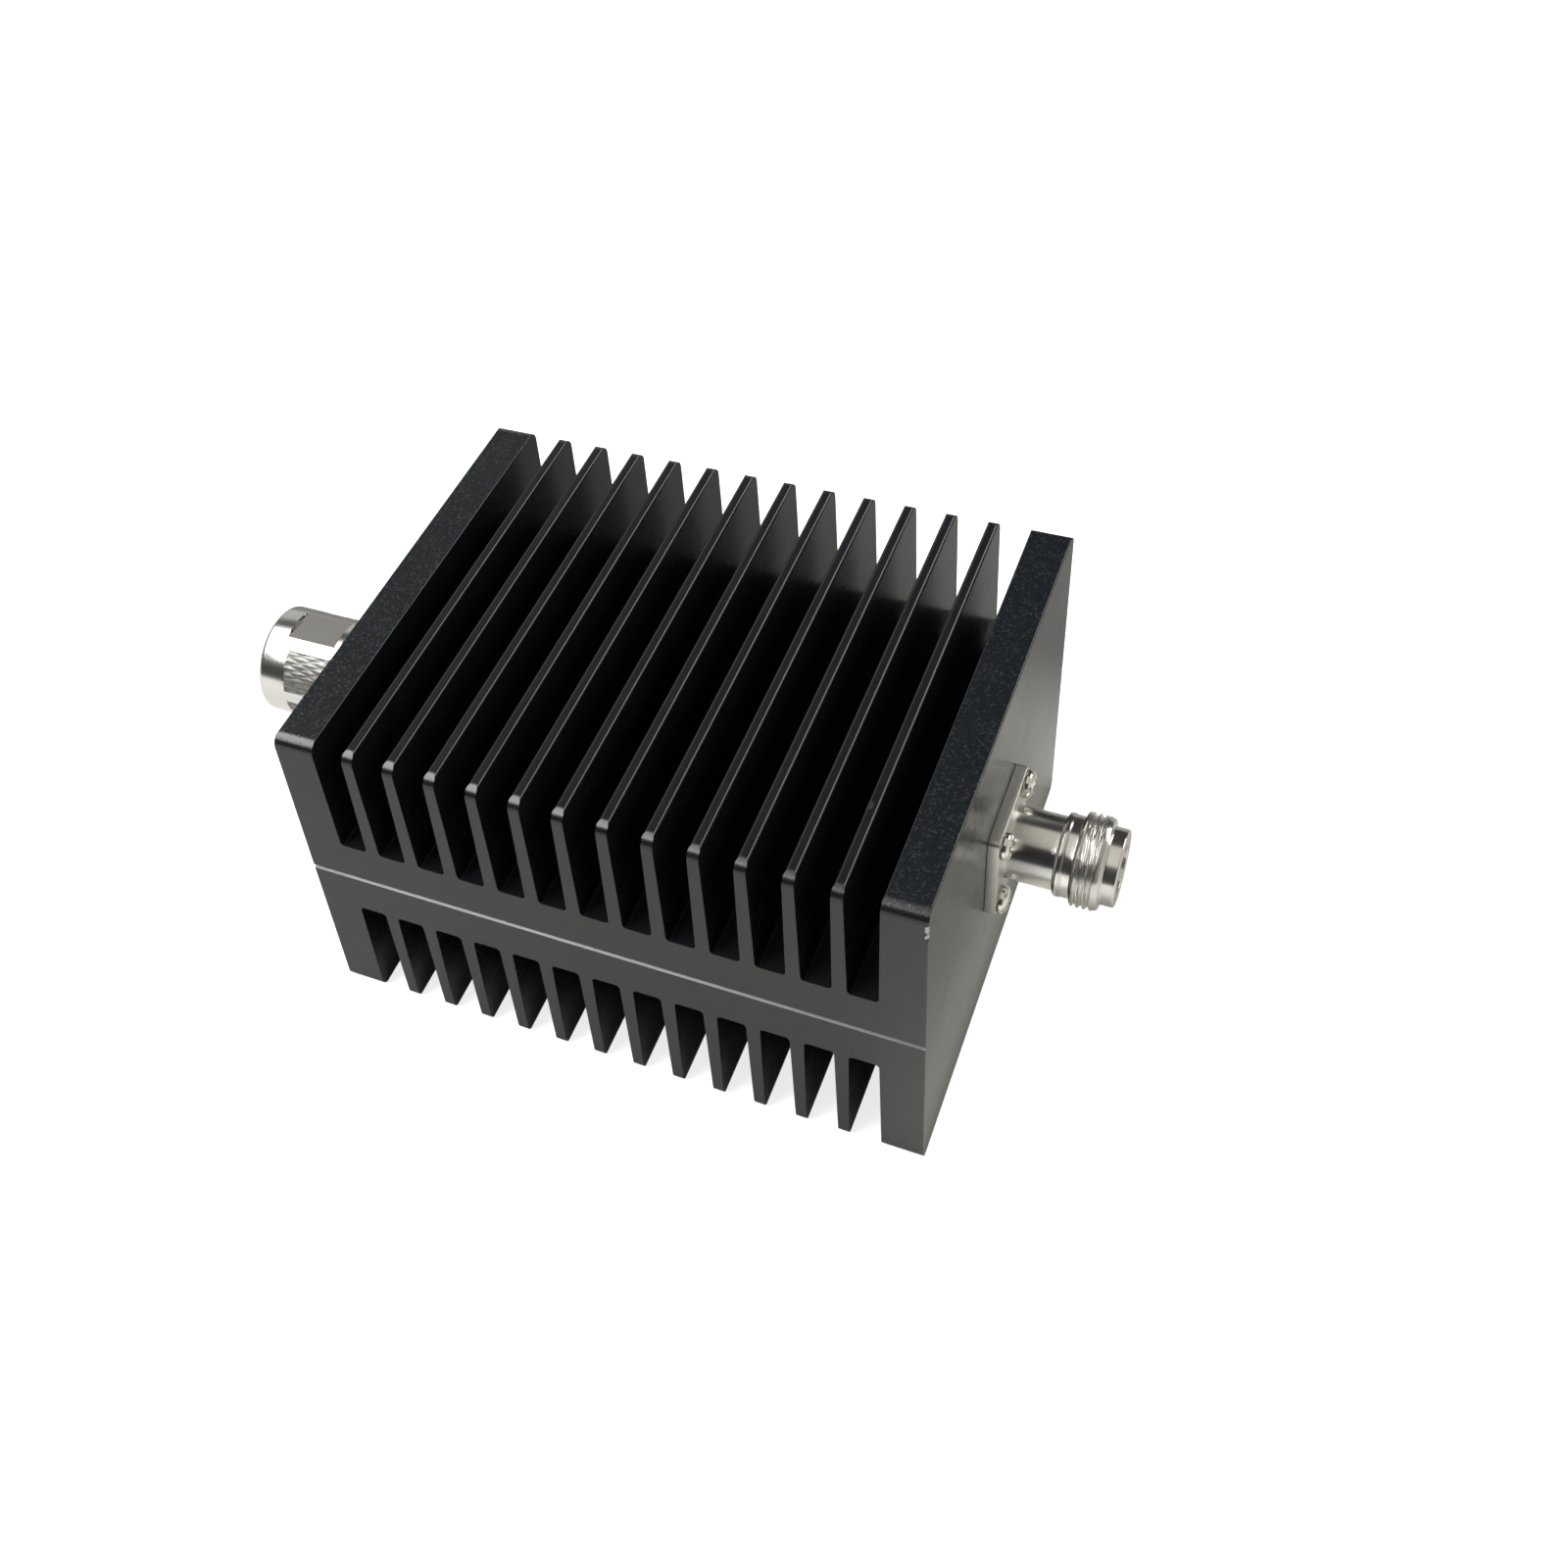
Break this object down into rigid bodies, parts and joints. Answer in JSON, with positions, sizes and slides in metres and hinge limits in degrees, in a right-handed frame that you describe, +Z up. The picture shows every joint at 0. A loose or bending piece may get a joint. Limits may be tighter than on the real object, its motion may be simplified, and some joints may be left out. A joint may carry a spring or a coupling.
{
  "type": "coaxial attenuator",
  "caption": "Finned heat sink attenuator for coaxial lines: a film resistor between two ribbed aluminium halves, with a type N plug at one end and a type N socket at the other.",
  "frame": {"origin": "middle of the whole footprint, connectors included, at the tips of the lower fins", "axes": "+Z up, +X along the coaxial axis from the plug to the socket, fins along Y"},
  "size_m": [0.1592, 0.085, 0.065],
  "materials": {
    "anodised": "black anodised, sawn ends slightly brushed",
    "black_steel": "blackened",
    "nickel": "turned brass, bright nickel plated",
    "steel": "bright zinc plated",
    "gold": "gold plated",
    "ptfe": "waxy white",
    "silicone": "matt",
    "copper": "nickel plated copper",
    "ceramic": "fired, unglazed",
    "silver": "silver strip",
    "laminate": "glass laminate, copper track"
  },
  "bodies": {
    "attenuator": {"upper_heat_sink": "anodised", "lower_heat_sink": "anodised", "case_screws": "black_steel", "socket_shell": "nickel", "socket_insulator": "ptfe", "socket_contact": "gold", "socket_flange_screws": "steel", "plug_body": "nickel", "plug_sleeve": "nickel", "plug_insulator": "ptfe", "plug_pin": "gold", "plug_gasket": "silicone", "snap_ring": "steel", "plug_flange_screws": "steel", "resistor_flange": "copper", "film_substrate": "ceramic", "film_cover": "ceramic", "input_tab": "silver", "output_tab": "silver", "resistor_washers": "steel", "resistor_screws": "steel", "input_line_board": "laminate", "output_line_board": "laminate", "board_screws": "steel"},
    "coupling_nut": {"coupling_nut": "nickel"}
  },
  "joints": [
    {"name": "coupling_nut_turn", "type": "hinge", "parent": "attenuator", "child": "coupling_nut", "pos_m": [-0.0701, 0, 0.0336], "axis": [-1, 0, 0], "continuous": true}
  ]
}
